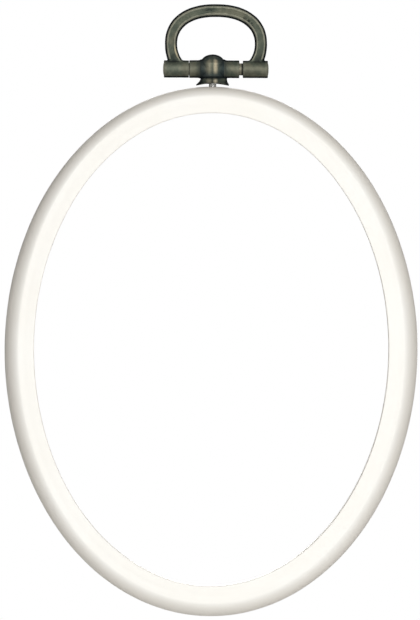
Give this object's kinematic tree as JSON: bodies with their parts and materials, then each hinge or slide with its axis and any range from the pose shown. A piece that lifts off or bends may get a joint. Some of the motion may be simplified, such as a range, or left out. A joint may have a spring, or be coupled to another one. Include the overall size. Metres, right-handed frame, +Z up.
{
  "type": "oval embroidery hoop frame",
  "caption": "Oval frame hoop: a soft lipped outer hoop snapped over a flanged inner hoop, with a cast hanger and a hinged hanging loop on top.",
  "frame": {"origin": "where a wall hook carries the frame, inside the crown of the hanging loop and in the mid-plane of the hoops", "axes": "+Z up towards the hook, +Y to the back of the hoops, +X to the viewer's right"},
  "size_m": [0.105, 0.0094, 0.1556],
  "materials": {
    "cream_vinyl": "smooth satin, soft moulded vinyl",
    "ivory_plastic": "smooth satin, rigid moulded plastic",
    "aged_bronze": "antique bronze patina, dark in the recesses and rubbed lighter on the high edges",
    "worn_bronze": "antique bronze, rubbed by the turning loop",
    "plain_steel": "plain turned steel"
  },
  "bodies": {
    "loop": {"hanging_loop": "aged_bronze", "hinge_pin": "worn_bronze"},
    "hanger": {"hanger_body": "aged_bronze", "hanger_screw": "plain_steel"},
    "outer": {"outer_hoop": "cream_vinyl", "screw_washer": "plain_steel"},
    "inner": {"inner_hoop": "ivory_plastic"}
  },
  "joints": [
    {"name": "loop_swing", "type": "hinge", "parent": "loop", "child": "hanger", "pos_m": [0, 0, -0.01325], "axis": [1, 0, 0], "range_deg": [-110, 110]},
    {"name": "hanger_swivel", "type": "hinge", "parent": "hanger", "child": "outer", "pos_m": [0, 0, -0.01775], "axis": [0, 0, 1], "continuous": true},
    {"name": "inner_hoop_release", "type": "slide", "parent": "outer", "child": "inner", "axis": [0, 1, 0], "range_m": [0, 0.012]}
  ]
}
